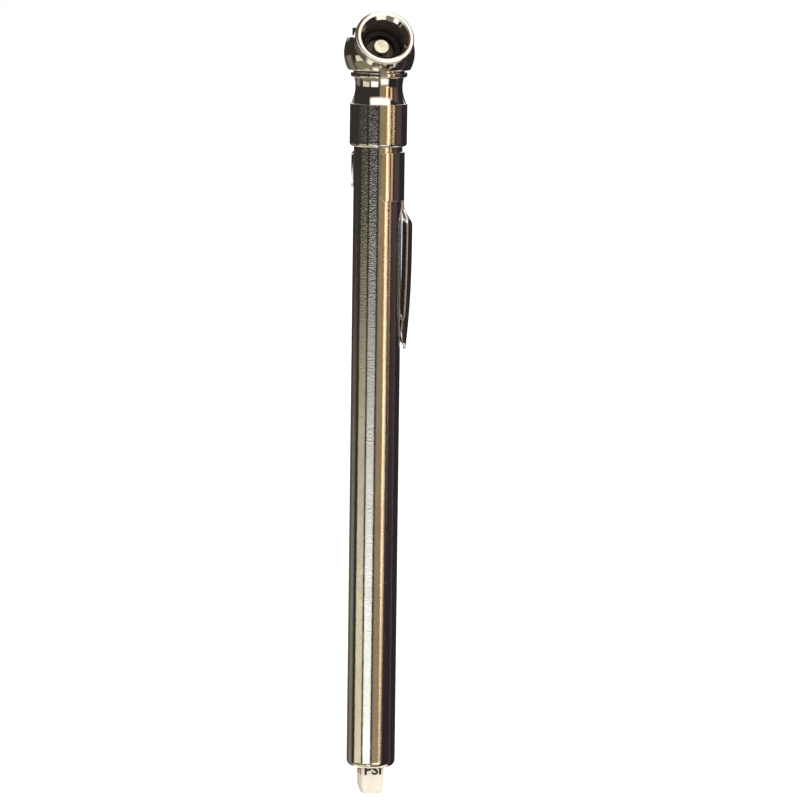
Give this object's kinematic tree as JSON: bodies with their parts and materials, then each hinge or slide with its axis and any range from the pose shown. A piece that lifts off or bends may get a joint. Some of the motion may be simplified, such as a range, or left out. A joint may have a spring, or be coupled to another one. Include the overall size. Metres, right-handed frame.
{
  "type": "tire pressure gauge",
  "caption": "Pencil tyre pressure gauge: ball chuck on a slim plated barrel, sliding indicator bar, sprung piston inside and a slip-on pocket clip.",
  "frame": {"origin": "on the barrel's axis, half way up the barrel that shows, where a hand holds it", "axes": "+Z along the barrel towards the chuck; the chuck's mouth faces -Y and 30 degrees up; the clip is on the +X side"},
  "size_m": [0.0138, 0.0156, 0.1528],
  "materials": {
    "nickel_plate": "bright nickel-chrome plating, slightly worn, fine lengthwise draw marks",
    "clip_plate": "bright plated spring steel",
    "brass": "turned brass",
    "black_rubber": "matte",
    "steel": "bright drawn steel",
    "brown_fibre": "pressed vulcanised fibre",
    "ivory_plastic": "ivory plastic with printed scale",
    "dark_plastic": "moulded"
  },
  "bodies": {
    "gauge_body": {"chuck_body": "nickel_plate", "mouth_ferrule": "nickel_plate", "valve_washer": "black_rubber", "depressor_pin": "brass", "barrel": "nickel_plate", "barrel_gasket": "black_rubber", "end_guide": "dark_plastic", "drag_washer": "brown_fibre", "spring_seat": "steel", "pressure_spring": "steel"},
    "piston": {"piston_head": "brass", "piston_cup": "black_rubber", "piston_screw": "steel"},
    "indicator": {"indicator_bar": "ivory_plastic", "bar_cap": "brass"},
    "clip": {"pocket_clip": "clip_plate"}
  },
  "joints": [
    {"name": "indicator_slide", "type": "slide", "parent": "gauge_body", "child": "indicator", "axis": [0, 0, -1], "range_m": [0, 0.05]},
    {"name": "piston_slide", "type": "slide", "parent": "gauge_body", "child": "piston", "axis": [0, 0, -1], "range_m": [0, 0.05], "deforming": ["pressure_spring"]},
    {"name": "clip_swivel", "type": "hinge", "parent": "gauge_body", "child": "clip", "pos_m": [0, 0, 0.0549], "axis": [0, 0, 1], "continuous": true}
  ],
  "couplings": [
    {"joint": "piston_slide", "follows": "indicator_slide", "ratio": 1}
  ]
}
